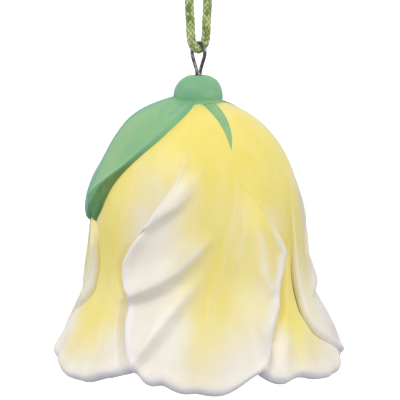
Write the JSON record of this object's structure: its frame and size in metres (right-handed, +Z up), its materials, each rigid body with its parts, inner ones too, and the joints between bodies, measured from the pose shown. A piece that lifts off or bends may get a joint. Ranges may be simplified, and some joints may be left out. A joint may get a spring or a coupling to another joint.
{
  "type": "flower bell ornament",
  "caption": "Hanging porcelain bell shaped like a lily flower, with ruffled petals, a green calyx and leaf, a wire eye on a cord loop, and a clapper inside.",
  "frame": {"origin": "the point inside the top of the cord loop where a hook or twig carries the ornament", "axes": "+Z up along the hang line, -Y towards the front petal, +X to the front view's right"},
  "size_m": [0.0688, 0.0694, 0.1195],
  "materials": {
    "petal_glaze": "gloss",
    "leaf_glaze": "gloss",
    "dark_wire": "satin",
    "washer_steel": "satin",
    "clapper_glaze": "gloss",
    "cord_braid": "matte"
  },
  "bodies": {
    "cord": {"cord_loop": "cord_braid", "cord_knot": "cord_braid"},
    "hanger": {"wire_hanger": "dark_wire", "hanger_washer": "washer_steel"},
    "bell": {"petal_outer_front": "petal_glaze", "petal_outer_right": "petal_glaze", "petal_outer_left": "petal_glaze", "petal_inner_right": "petal_glaze", "petal_inner_back": "petal_glaze", "petal_inner_left": "petal_glaze", "calyx": "leaf_glaze", "leaf": "leaf_glaze"},
    "link": {"clapper_link": "dark_wire"},
    "clapper": {"clapper_wire": "dark_wire", "clapper_ball": "clapper_glaze"}
  },
  "joints": [
    {"name": "bell_swing", "type": "hinge", "parent": "cord", "child": "hanger", "pos_m": [0, 0, -0.02848], "axis": [0.848, -0.5299, 0], "range_deg": [-45, 45]},
    {"name": "bell_swivel", "type": "hinge", "parent": "hanger", "child": "bell", "pos_m": [0, 0, -0.04685], "axis": [0, 0, 1], "continuous": true},
    {"name": "link_swing", "type": "hinge", "parent": "hanger", "child": "link", "pos_m": [0, 0, -0.0545], "axis": [0.848, -0.5299, 0], "range_deg": [-19, 19]},
    {"name": "clapper_swing", "type": "hinge", "parent": "link", "child": "clapper", "pos_m": [0, 0, -0.05762], "axis": [0.5299, 0.848, 0], "range_deg": [-19, 19]}
  ]
}
